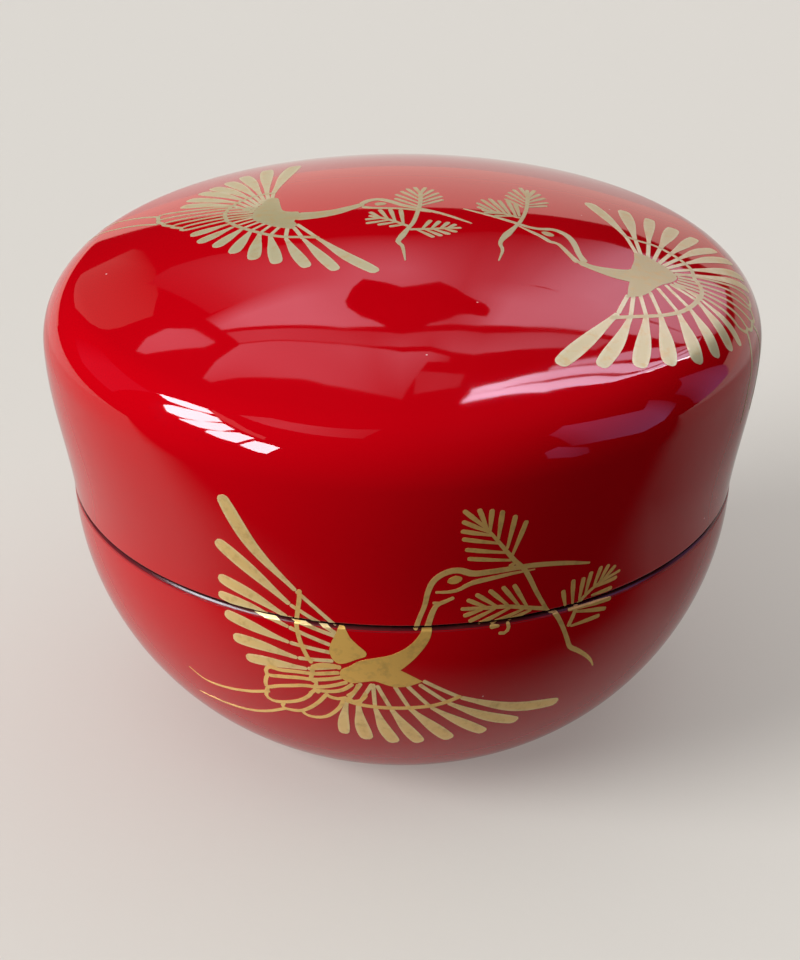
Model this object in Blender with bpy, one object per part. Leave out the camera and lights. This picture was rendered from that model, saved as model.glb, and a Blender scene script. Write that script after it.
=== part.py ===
"""Lacquer tea caddy: a low turned bowl with a lid that lifts off.

Two turned wooden shells, lacquered.  The lid slides down over a thin lip inside the rim of the
body and stops on the rim.  The origin is the middle of the underside, and the caddy stands on a
narrow flat ring there.
"""
import math

import bmesh
import bpy
from mathutils import Vector

# Sizes in metres.
WIDEST_RADIUS = 0.041        # the lid, where its shoulder ends
TOTAL_HEIGHT = 0.060
DOME_RADIUS = 0.105          # the flat dome on top of the lid
SHOULDER_RADIUS = 0.007      # the round between the dome and the side of the lid
SEAM_RADIUS = 0.03865        # outside, at the rim of the body
SEAM_HEIGHT = 0.0294         # the rim of the body, above the table
SEAM_FLARE = 0.095           # how fast the lid widens just above its mouth, per unit of height
SEAM_GAP = 0.0003            # between the lid's mouth and the rim
RIM_BEVEL = 0.0005           # on the outer edge of the rim

LID_WALL = 0.0022
LID_TOP = 0.0026
LIP_WALL = 0.0012
LIP_HEIGHT = 0.0090          # the lip's height above the rim
LIP_CLEARANCE = 0.0003       # between the lip and the lid's mouth, on each side
LIP_EDGE = 0.0003            # bevel on the lip's top edges
FIT_RUN = 0.0010             # the lid's straight bore goes on this far above the lip

BODY_WALL = 0.0030
FLOOR_WALL = 0.0030
FOOT_RADIUS = 0.0204
FOOT_RING = 0.0034           # width of the flat ring that the caddy stands on
FOOT_RECESS = 0.0008         # depth of the underside inside that ring
RECESS_SLOPE = 0.0010        # width of the slope from the ring up into the recess
BOWL_FULLNESS = 0.72         # the bowl's curve: 1 is a plain parabola, less is fuller

AROUND = 72                  # facets around each turned piece
WELD = 0.00001
SHARP_ANGLE = math.radians(35)

MOUTH_RADIUS = SEAM_RADIUS - LID_WALL
LIP_OUTER = MOUTH_RADIUS - LIP_CLEARANCE
LIP_INNER = LIP_OUTER - LIP_WALL
MOUTH_HEIGHT = SEAM_HEIGHT + SEAM_GAP
LIP_TOP = SEAM_HEIGHT + LIP_HEIGHT


def shares(count):
    """Even steps from 0 to 1, both ends included."""
    return [i / count for i in range(count + 1)]


def cap_centres(dome_radius, shoulder_radius, wall_radius, top):
    """The angle where dome meets shoulder, and the height of the shoulder's centre."""
    meet = math.asin((wall_radius - shoulder_radius) / (dome_radius - shoulder_radius))
    height = top - dome_radius + (dome_radius - shoulder_radius) * math.cos(meet)
    return meet, height


def cap(dome_radius, shoulder_radius, wall_radius, top, dome_steps, shoulder_steps):
    """A flat dome and a round shoulder, from the axis out to the top of the wall."""
    meet, centre = cap_centres(dome_radius, shoulder_radius, wall_radius, top)
    points = []
    for share in shares(dome_steps):
        angle = meet * share
        points.append((dome_radius * math.sin(angle), top - dome_radius * (1 - math.cos(angle))))
    for share in shares(shoulder_steps)[1:]:
        angle = meet + (math.pi / 2 - meet) * share
        reach = wall_radius - shoulder_radius + shoulder_radius * math.sin(angle)
        points.append((reach, centre + shoulder_radius * math.cos(angle)))
    return points


def side_radius(height):
    """The lid's outer side: it leaves the seam with its flare and ends upright at the shoulder."""
    top = cap_centres(DOME_RADIUS, SHOULDER_RADIUS, WIDEST_RADIUS, TOTAL_HEIGHT)[1]
    run = top - SEAM_HEIGHT
    s = (height - SEAM_HEIGHT) / run
    ease = s * s * (3 - 2 * s)
    flare = run * SEAM_FLARE * s * (1 - s) ** 2
    return SEAM_RADIUS + (WIDEST_RADIUS - SEAM_RADIUS) * ease + flare


def bowl_radius(height):
    """The outer side of the body, from its foot up to the seam."""
    share = height / SEAM_HEIGHT
    return FOOT_RADIUS + (SEAM_RADIUS - FOOT_RADIUS) * (1 - (1 - share) ** 2) ** BOWL_FULLNESS


def bowl_points(steps):
    """The outer curve of the bowl from the bevel down to the foot, closer spaced near the foot."""
    top = SEAM_HEIGHT - RIM_BEVEL
    heights = [top * (1 - share) ** 1.6 for share in shares(steps)]
    return [(bowl_radius(height), height) for height in heights]


def inner_bowl(steps):
    """The outer curve moved in by the wall, down to the floor of the chamber."""
    rim_wall = SEAM_RADIUS - LIP_INNER
    floor = FOOT_RECESS + FLOOR_WALL
    points = [(LIP_INNER, SEAM_HEIGHT)]
    tiny = SEAM_HEIGHT * 0.001
    for share in shares(steps)[1:]:
        height = SEAM_HEIGHT * (1 - share)
        level = max(height, tiny)
        slope = (bowl_radius(level + tiny) - bowl_radius(level)) / tiny
        normal = Vector((1.0, -slope)).normalized()
        wall = BODY_WALL + (rim_wall - BODY_WALL) * (1 - share) ** 4
        point = (bowl_radius(height) - wall * normal.x, height - wall * normal.y)
        if point[1] <= floor:
            before = points[-1]
            part = (before[1] - floor) / (before[1] - point[1])
            points.append((before[0] + (point[0] - before[0]) * part, floor))
            break
        points.append(point)
    points.append((0.0, floor))
    return points


def lid_profile():
    """Down the outside from the axis, in at the mouth, and up the inside to the axis."""
    points = cap(DOME_RADIUS, SHOULDER_RADIUS, WIDEST_RADIUS, TOTAL_HEIGHT, 5, 6)
    side_top = points[-1][1]
    for share in shares(6)[1:]:
        height = side_top + (MOUTH_HEIGHT - side_top) * share
        points.append((side_radius(height), height))
    points.append((MOUTH_RADIUS, MOUTH_HEIGHT))

    bore_top = LIP_TOP + FIT_RUN
    inner_wall = WIDEST_RADIUS - LID_WALL
    inner_dome = DOME_RADIUS - LID_TOP
    inner_shoulder = SHOULDER_RADIUS - LID_WALL
    inner_cap = cap(inner_dome, inner_shoulder, inner_wall, TOTAL_HEIGHT - LID_TOP, 3, 3)
    inner_top = inner_cap[-1][1]
    for share in shares(4)[:-1]:
        ease = share * share * (3 - 2 * share)
        reach = MOUTH_RADIUS + (inner_wall - MOUTH_RADIUS) * ease
        points.append((reach, bore_top + (inner_top - bore_top) * share))
    points.extend(reversed(inner_cap))
    return points


def body_profile():
    """From the middle of the floor up over the lip and rim, down the bowl and under the foot."""
    inner = list(reversed(inner_bowl(14)))
    points = inner
    points += [
        (LIP_INNER, LIP_TOP - LIP_EDGE),
        (LIP_INNER + LIP_EDGE, LIP_TOP),
        (LIP_OUTER - LIP_EDGE, LIP_TOP),
        (LIP_OUTER, LIP_TOP - LIP_EDGE),
        (LIP_OUTER, SEAM_HEIGHT),
        (SEAM_RADIUS - RIM_BEVEL, SEAM_HEIGHT),
    ]
    points += bowl_points(11)
    points += [
        (FOOT_RADIUS - FOOT_RING, 0.0),
        (FOOT_RADIUS - FOOT_RING - RECESS_SLOPE, FOOT_RECESS),
        (0.0, FOOT_RECESS),
    ]
    return points


def lacquer(name, colour, roughness):
    material = bpy.data.materials.new(name)
    material.use_nodes = True
    shader = material.node_tree.nodes["Principled BSDF"]
    shader.inputs["Base Color"].default_value = (*colour, 1.0)
    shader.inputs["Roughness"].default_value = roughness
    shader.inputs["Metallic"].default_value = 0.0
    shader.inputs["Coat Weight"].default_value = 1.0
    return material


def turned(name, profile, material):
    """A profile in the XZ plane, spun once around Z into one closed shell."""
    shell = bmesh.new()
    line = [shell.verts.new((radius, 0.0, height)) for radius, height in profile]
    edges = [shell.edges.new(pair) for pair in zip(line, line[1:])]
    bmesh.ops.spin(
        shell, geom=line + edges, cent=(0, 0, 0), axis=(0, 0, 1), angle=2 * math.pi, steps=AROUND
    )
    bmesh.ops.remove_doubles(shell, verts=shell.verts, dist=WELD)
    bmesh.ops.recalc_face_normals(shell, faces=shell.faces)

    mesh = bpy.data.meshes.new(name)
    shell.to_mesh(mesh)
    shell.free()
    mesh.materials.append(material)
    mesh.shade_smooth()
    mesh.set_sharp_from_angle(angle=SHARP_ANGLE)
    piece = bpy.data.objects.new(name, mesh)
    bpy.context.collection.objects.link(piece)
    return piece


def build():
    for item in list(bpy.data.objects):
        bpy.data.objects.remove(item)
    red = lacquer("red_lacquer", (0.45, 0.004, 0.012), 0.08)
    turned("caddy_body", body_profile(), red)
    turned("lid", lid_profile(), red)


build()
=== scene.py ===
import bisect
import math

import bmesh
import bpy
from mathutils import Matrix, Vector
from mathutils.geometry import delaunay_2d_cdt
from mathutils.kdtree import KDTree


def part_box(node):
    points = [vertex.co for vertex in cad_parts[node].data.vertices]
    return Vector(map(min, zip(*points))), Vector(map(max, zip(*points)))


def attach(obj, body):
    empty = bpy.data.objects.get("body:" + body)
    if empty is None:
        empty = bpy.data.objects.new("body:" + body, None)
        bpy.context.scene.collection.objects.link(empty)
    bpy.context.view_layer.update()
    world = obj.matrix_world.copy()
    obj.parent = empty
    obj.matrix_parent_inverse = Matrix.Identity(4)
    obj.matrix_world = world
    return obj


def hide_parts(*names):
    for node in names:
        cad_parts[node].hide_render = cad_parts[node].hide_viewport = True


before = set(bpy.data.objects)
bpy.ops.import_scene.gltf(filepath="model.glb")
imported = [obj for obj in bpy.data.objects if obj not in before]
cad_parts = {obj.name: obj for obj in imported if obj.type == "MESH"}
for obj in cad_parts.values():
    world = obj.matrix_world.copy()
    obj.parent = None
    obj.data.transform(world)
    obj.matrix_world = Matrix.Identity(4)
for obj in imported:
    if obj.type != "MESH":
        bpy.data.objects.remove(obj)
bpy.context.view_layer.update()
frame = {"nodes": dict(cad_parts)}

print("frame loaded:", ", ".join(frame["nodes"]))

mm = 0.001
lidLow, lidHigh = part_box("lid")
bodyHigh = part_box("caddy_body")[1]

# the turned shape that lid and body share, in metres
turning = {
    "around": 256,
    "widest": lidHigh.x,
    "top": lidHigh.z,
    "mouth": lidLow.z,          # the lid's lower edge
    "lipTop": bodyHigh.z,
    "seam": 29.4 * mm,          # the body's rim
    "seamRadius": 38.65 * mm,
    "dome": 105.0 * mm,         # radius of the flat dome
    "shoulder": 7.0 * mm,       # radius of the round below it
    "flare": 0.095,             # how fast the lid widens above its mouth
    "foot": 20.4 * mm,
    "fullness": 0.72,           # of the bowl's curve
    "onAxis": 0.001 * mm,       # a point nearer to the axis than this is on it
    "sharpAngle": 40,           # faces that meet at more than this stay sharp
    "footward": 1.6,            # points crowd towards the foot by this power
}


def shares(count):
    return [i / count for i in range(count + 1)]


def between(one, two, share):
    return [u + (v - u) * share for u, v in zip(one, two)]


def linked(name, data):
    made = bpy.data.objects.new(name, data)
    bpy.context.scene.collection.objects.link(made)
    return made


def capParts(dome, shoulder, wall, top):
    meet = math.asin((wall - shoulder) / (dome - shoulder))
    centre = top - dome + (dome - shoulder) * math.cos(meet)
    return meet, centre


def capCurve(dome, shoulder, wall, top, domeSteps, shoulderSteps):
    # from the axis over the dome and round the shoulder to the top of the wall
    meet, centre = capParts(dome, shoulder, wall, top)
    curve = [
        (dome * math.sin(meet * share), top - dome * (1 - math.cos(meet * share)))
        for share in shares(domeSteps)
    ]
    for share in shares(shoulderSteps)[1:]:
        angle = meet + (math.pi / 2 - meet) * share
        reach = wall - shoulder + shoulder * math.sin(angle)
        curve.append((reach, centre + shoulder * math.cos(angle)))
    return curve


def sideRadius(height):
    centre = capParts(turning["dome"], turning["shoulder"], turning["widest"], turning["top"])[1]
    run = centre - turning["seam"]
    s = (height - turning["seam"]) / run
    ease = s * s * (3 - 2 * s)
    flare = run * turning["flare"] * s * (1 - s) ** 2
    return turning["seamRadius"] + (turning["widest"] - turning["seamRadius"]) * ease + flare


def bowlRadius(height):
    share = height / turning["seam"]
    full = (1 - (1 - share) ** 2) ** turning["fullness"]
    return turning["foot"] + (turning["seamRadius"] - turning["foot"]) * full


def roundedCorners(corners, steps=5):
    # each corner is (radius, height, rounding); a rounding of 0 leaves the point as it is
    points = []
    for i, (reach, height, rounding) in enumerate(corners):
        here = Vector((reach, height))
        if rounding == 0:
            points.append(here)
            continue
        before = (Vector(corners[i - 1][:2]) - here).normalized()
        after = (Vector(corners[(i + 1) % len(corners)][:2]) - here).normalized()
        half = before.angle(after) / 2
        start = here + before * (rounding / math.tan(half))
        end = here + after * (rounding / math.tan(half))
        for share in shares(steps):  # a quadratic arc is close enough at this size
            points.append(start * (1 - share) ** 2 + here * 2 * share * (1 - share)
                          + end * share ** 2)
    return [(p.x, p.y) for p in points]


def plain(curve):
    return [(reach, height, 0) for reach, height in curve]


def turned(name, profile, material):
    # rings of points around the axis; a profile point on the axis is a single point
    around = turning["around"]
    mesh = bmesh.new()
    rings = []
    for reach, height in profile:
        if reach < turning["onAxis"]:
            rings.append([mesh.verts.new((0, 0, height))])
            continue
        ring = []
        for i in range(around):
            angle = 2 * math.pi * i / around
            ring.append(mesh.verts.new((reach * math.cos(angle), reach * math.sin(angle), height)))
        rings.append(ring)
    for upper, lower in zip(rings, rings[1:] + rings[:1]):
        if len(upper) == 1 and len(lower) == 1:
            continue
        for i in range(around):
            j = (i + 1) % around
            corners = [upper[i % len(upper)], lower[i % len(lower)]]
            corners += [lower[j % len(lower)], upper[j % len(upper)]]
            mesh.faces.new(list(dict.fromkeys(corners)))
    return finished(name, mesh, material)


def finished(name, mesh, material):
    bmesh.ops.recalc_face_normals(mesh, faces=mesh.faces)
    data = bpy.data.meshes.new(name)
    mesh.to_mesh(data)
    mesh.free()
    data.materials.append(material)
    data.shade_smooth()
    data.set_sharp_from_angle(angle=math.radians(turning["sharpAngle"]))
    return linked(name, data)


def nodeMaker(material):
    # node("ShaderNodeX", {"input": value or (node, "output")}, property=value)
    tree = material.node_tree

    def node(kind, inputs=None, **settings):
        made = tree.nodes.new(kind)
        for key, value in settings.items():
            setattr(made, key, value)
        for key, value in (inputs or {}).items():
            if isinstance(value, tuple) and hasattr(value[0], "outputs"):
                tree.links.new(value[0].outputs[value[1]], made.inputs[key])
            else:
                made.inputs[key].default_value = value
        return made

    return node, tree


def noise(node, inMm, scale, detail, **more):
    # scale is in noise cells a millimetre
    return node("ShaderNodeTexNoise", {"Vector": (inMm, 0), "Scale": scale, "Detail": detail,
                                       **more})


def ranged(node, value, start, end, low=0.0, high=1.0, **settings):
    # what runs from start to end in value runs from low to high in the result
    return node("ShaderNodeMapRange", {"Value": value, "From Min": start, "From Max": end,
                                       "To Min": low, "To Max": high}, **settings)


def calc(node, operation, *values):
    return node("ShaderNodeMath", dict(enumerate(values)), operation=operation)


def blend(node, tree, amount, first, second):
    # a colour mix; first and second are colours or colour mixes made before
    mix = node("ShaderNodeMix", {0: amount}, data_type="RGBA")
    for socket, source in ((6, first), (7, second)):
        if isinstance(source, tuple):
            mix.inputs[socket].default_value = source
        else:
            tree.links.new(source.outputs[2], mix.inputs[socket])
    return mix


def newMaterial(name):
    material = bpy.data.materials.new(name)
    material.use_nodes = True
    shader = material.node_tree.nodes["Principled BSDF"]
    node, tree = nodeMaker(material)
    place = node("ShaderNodeTexCoord")
    inMm = node("ShaderNodeVectorMath", {0: (place, "Object"), 1: (1000, 1000, 1000)},
                operation="MULTIPLY")
    return material, shader, node, tree, inMm


redFinish = {
    "deep": (0.40, 0.0, 0.003, 1),
    "bright": (0.46, 0.0, 0.004, 1),
    "cloudScale": 0.035,
    "dust": (0.75, 0.5, 0.5, 1),
    "dustScale": 0.16,
    "dustSize": (0.012, 0.02),  # from full strength to none, as a share of a cell
    "dustMost": 0.8,
    "gloss": 0.022,
    "wiped": 2.2,               # the dullest places are duller by this factor
    "wipeScale": 0.12,
    "wave": 0.012 * mm,
    "waveScale": 0.08,
    "ior": 1.53,
}


def redLacquer(name):
    material, shader, node, tree, inMm = newMaterial(name)
    cloud = noise(node, inMm, redFinish["cloudScale"], 2.0)
    red = blend(node, tree, (cloud, "Fac"), redFinish["deep"], redFinish["bright"])
    # dust settled in the last coat
    cells = node("ShaderNodeTexVoronoi", {"Vector": (inMm, 0), "Scale": redFinish["dustScale"],
                                          "Randomness": 1.0})
    whole, gone = redFinish["dustSize"]
    speck = ranged(node, (cells, "Distance"), whole, gone, redFinish["dustMost"], 0.0)
    dusty = blend(node, tree, (speck, "Result"), red, redFinish["dust"])
    tree.links.new(dusty.outputs[2], shader.inputs["Base Color"])

    wipe = noise(node, inMm, redFinish["wipeScale"], 3.0)
    gloss = ranged(node, (wipe, "Fac"), 0.3, 0.75, redFinish["gloss"],
                   redFinish["gloss"] * redFinish["wiped"])
    tree.links.new(gloss.outputs["Result"], shader.inputs["Roughness"])

    wave = noise(node, inMm, redFinish["waveScale"], 1.5)
    bump = node("ShaderNodeBump", {"Height": (wave, "Fac"), "Distance": redFinish["wave"],
                                   "Strength": 1.0})
    tree.links.new(bump.outputs["Normal"], shader.inputs["Normal"])
    shader.inputs["IOR"].default_value = redFinish["ior"]
    return material


blackFinish = {
    "black": (0.012, 0.007, 0.008, 1),
    "worn": (0.05, 0.022, 0.015, 1),
    "cloudScale": 0.4,
    "rubbedAndShaded": (0.17, 0.006, 0.012, 1),      # the red undercoat shows on the edge of the rim, darkened as painted shade of the groove under the lid
    "gloss": 0.07,
    "rubbedGloss": 0.36,
    "rubbedReach": 0.5 * mm,
}


def blackLacquer(name):
    material, shader, node, tree, inMm = newMaterial(name)
    cloud = noise(node, inMm, blackFinish["cloudScale"], 4.0)
    tone = ranged(node, (cloud, "Fac"), 0.45, 0.8)
    black = blend(node, tree, (tone, "Result"), blackFinish["black"], blackFinish["worn"])
    place = node("ShaderNodeSeparateXYZ", {"Vector": (node("ShaderNodeTexCoord"), "Object")})
    # down the edge of the rim the black gives way to a dark red: red undercoat with painted shade of
    # the groove under the lid
    edge = ranged(node, (place, "Z"), turning["seam"], turning["seam"] - blackFinish["rubbedReach"])
    rubbedAndShaded = blend(node, tree, (edge, "Result"), black, blackFinish["rubbedAndShaded"])
    tree.links.new(rubbedAndShaded.outputs[2], shader.inputs["Base Color"])
    gloss = ranged(node, (edge, "Result"), 0.0, 1.0, blackFinish["gloss"],
                   blackFinish["rubbedGloss"])
    tree.links.new(gloss.outputs["Result"], shader.inputs["Roughness"])
    return material


goldFinish = {
    "middle": (0.93, 0.64, 0.24, 1),
    "edge": (1.0, 0.76, 0.38, 1),
    "deep": (1.0, 0.60, 0.15, 1),
    # the same gold on the lid's top, greyer and greener: painted sheen of the light from above
    "lidSheenMiddle": (0.53, 0.50, 0.28, 1),
    "lidSheenEdge": (0.62, 0.60, 0.38, 1),
    "lidSheenDeep": (0.40, 0.37, 0.18, 1),
    "worn": (0.56, 0.33, 0.09, 1),
    "wornScale": 0.9,
    "wornMost": 0.8,
    "metal": 0.5,
    "roughness": 0.34,
    "roughSpread": (0.8, 1.3),  # from the smoothest grain to the roughest
    "grain": 0.004 * mm,
    "grainScale": 7.0,
}


def goldPowder(name, edge, middle, deepest):
    material, shader, node, tree, inMm = newMaterial(name)
    inset = node("ShaderNodeAttribute", attribute_name="inset")
    deep = node("ShaderNodeAttribute", attribute_name="tone")
    pale = blend(node, tree, (inset, "Fac"), edge, middle)
    tone = blend(node, tree, (deep, "Fac"), pale, deepest)
    cloud = noise(node, inMm, goldFinish["wornScale"], 4.0, Roughness=0.6)
    thin = ranged(node, (cloud, "Fac"), 0.5, 0.85, 0.0, goldFinish["wornMost"])
    worn = blend(node, tree, (thin, "Result"), tone, goldFinish["worn"])
    tree.links.new(worn.outputs[2], shader.inputs["Base Color"])
    grain = noise(node, inMm, goldFinish["grainScale"], 2.0)
    smoothest, roughest = goldFinish["roughSpread"]
    rough = ranged(node, (grain, "Fac"), 0.0, 1.0, goldFinish["roughness"] * smoothest,
                   goldFinish["roughness"] * roughest)
    tree.links.new(rough.outputs["Result"], shader.inputs["Roughness"])
    bump = node("ShaderNodeBump", {"Height": (grain, "Fac"), "Distance": goldFinish["grain"],
                                   "Strength": 1.0})
    tree.links.new(bump.outputs["Normal"], shader.inputs["Normal"])
    shader.inputs["Metallic"].default_value = goldFinish["metal"]
    return material


# camera, floor and light
view = {
    "lens": 87.71,
    "place": (-0.27 * mm, -245.28 * mm, 159.95 * mm),
    "pitch": 61.352,
}


def makeCamera():
    data = bpy.data.cameras.new("camera")
    data.sensor_width = 36
    data.lens = view["lens"]
    data.clip_start = 0.01
    camera = linked("camera", data)
    camera.location = view["place"]
    camera.rotation_euler = (math.radians(view["pitch"]), 0, 0)
    bpy.context.scene.camera = camera


studio = {
    "floorSize": 6.4,
    "floorColour": (0.60, 0.575, 0.53, 1),
    "floorRoughness": 0.9,
    "floorGrain": 0.02 * mm,
    "floorGrainScale": 0.6,
    "floorGlow": (0.77, 0.74, 0.69, 1),
    "floorLift": 0.3,           # this share of the floor's brightness knows no shadow
    "dark": (0.005, 0.004, 0.005, 1),
    "frontEnds": -0.048,        # in front of this line the floor hardly shows in the gloss
    "frontSlope": 0.45,         # the line falls back by this much towards the right
    "frontTurn": 0.06,          # as far as here
    "frontFade": 0.018,
    "frontShade": 0.55,         # and there the floor gives this much less light
    "rightDims": (78, 122),     # degrees round the caddy where it fades on the right
    "rightDim": 0.93,           # how dark it gets there
    "rightStarts": (0.045, 0.075),
    "glossyNear": 0.75,         # how bright it is in the gloss, near the caddy and far right
    "glossyFar": 0.52,
    "backStarts": (0.05, 0.16),     # behind the caddy it is at full brightness from here
    "aim": 40 * mm,
    "panelDistance": 3.1,
    "panelSteps": (4, 6),       # across each span and up
    "darkPatchShare": 0.97,         # the dark panel of painted reflection hangs at this share of the panels' distance
    "room": (0.004, 0.003, 0.004, 1),
    "fill": (0.055, 0.05, 0.05, 1),
    "paper": (0.66, 0.64, 0.59, 1),
}


def makeFloor():
    material, shader, node, tree, inMm = newMaterial("floor_paper")
    cloud = noise(node, inMm, studio["floorGrainScale"], 4.0)
    bump = node("ShaderNodeBump", {"Height": (cloud, "Fac"), "Distance": studio["floorGrain"]})
    tree.links.new(bump.outputs["Normal"], shader.inputs["Normal"])
    shader.inputs["Base Color"].default_value = studio["floorColour"]
    shader.inputs["Roughness"].default_value = studio["floorRoughness"]
    glow = node("ShaderNodeEmission", {"Color": studio["floorGlow"], "Strength": 1.0})
    lit = node("ShaderNodeMixShader", {0: studio["floorLift"], 1: (shader, 0), 2: (glow, 0)})

    # in mirrored light the floor goes dark towards the viewer, past a line that bends back
    place = node("ShaderNodeSeparateXYZ", {"Vector": (node("ShaderNodeTexCoord"), "Object")})
    right = node("ShaderNodeClamp", {"Value": (place, "X"), "Min": 0.0, "Max": studio["frontTurn"]})
    line = calc(node, "MULTIPLY_ADD", (right, 0), studio["frontSlope"], studio["frontEnds"])
    past = calc(node, "SUBTRACT", (line, 0), (place, "Y"))
    front = ranged(node, (past, 0), -studio["frontFade"], studio["frontFade"],
                   interpolation_type="SMOOTHSTEP")
    # it fades round the caddy on the right
    turn = calc(node, "ARCTAN2", (place, "X"), (place, "Y"))
    first, last = studio["rightDims"]
    around = ranged(node, (turn, 0), math.radians(first), math.radians(last), 0.0,
                    studio["rightDim"], interpolation_type="SMOOTHSTEP")
    near, far = studio["rightStarts"]
    out = ranged(node, (place, "X"), near, far)
    side = calc(node, "MULTIPLY", (around, "Result"), (out, "Result"))
    dim = calc(node, "MAXIMUM", (front, "Result"), (side, 0))
    # and it is at full brightness behind
    bright = ranged(node, (place, "X"), near, far, studio["glossyNear"], studio["glossyFar"])
    behind, farther = studio["backStarts"]
    back = ranged(node, (place, "Y"), behind, farther)
    full = calc(node, "MAXIMUM", (bright, "Result"), (back, "Result"))
    kept = calc(node, "SUBTRACT", 1.0, (dim, 0))
    shown = calc(node, "MULTIPLY", (kept, 0), (full, 0))
    hidden = calc(node, "SUBTRACT", 1.0, (shown, 0))
    rays = node("ShaderNodeLightPath")
    glossy = calc(node, "MULTIPLY", (hidden, 0), (rays, "Is Glossy Ray"))
    softer = calc(node, "MULTIPLY", (rays, "Is Diffuse Ray"), studio["frontShade"])
    amount = calc(node, "MULTIPLY_ADD", (front, "Result"), (softer, 0), (glossy, 0))
    dark = node("ShaderNodeBsdfDiffuse", {"Color": studio["dark"]})
    mix = node("ShaderNodeMixShader", {0: (amount, 0), 1: (lit, 0), 2: (dark, 0)})
    tree.links.new(mix.outputs[0], tree.nodes["Material Output"].inputs["Surface"])
    half = studio["floorSize"] / 2
    data = bpy.data.meshes.new("floor")
    data.from_pydata([(-half, -half, 0), (half, -half, 0), (half, half, 0), (-half, half, 0)],
                     [], [(0, 1, 2, 3)])
    data.materials.append(material)
    linked("floor", data)


def towards(azimuth, elevation):
    # azimuth 0 is behind the caddy, 90 on its right and -90 on its left
    across, up = math.radians(azimuth), math.radians(elevation)
    return Vector((math.sin(across) * math.cos(up), math.cos(across) * math.cos(up), math.sin(up)))


# wide soft lights for the colours: (azimuth, elevation, strength, how wide in degrees)
lamps = {
    "key_from_left": (-110, 25, 4.1, 34),
    "overhead": (0, 84, 1.66, 84),
}


def makeLamp(name, azimuth, elevation, strength, wide):
    data = bpy.data.lights.new(name, "SUN")
    data.energy = strength
    data.angle = math.radians(wide)
    lamp = linked(name, data)
    lamp.rotation_euler = towards(azimuth, elevation).to_track_quat("Z", "Y").to_euler()
    lamp.visible_camera = False
    lamp.visible_glossy = False


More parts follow.
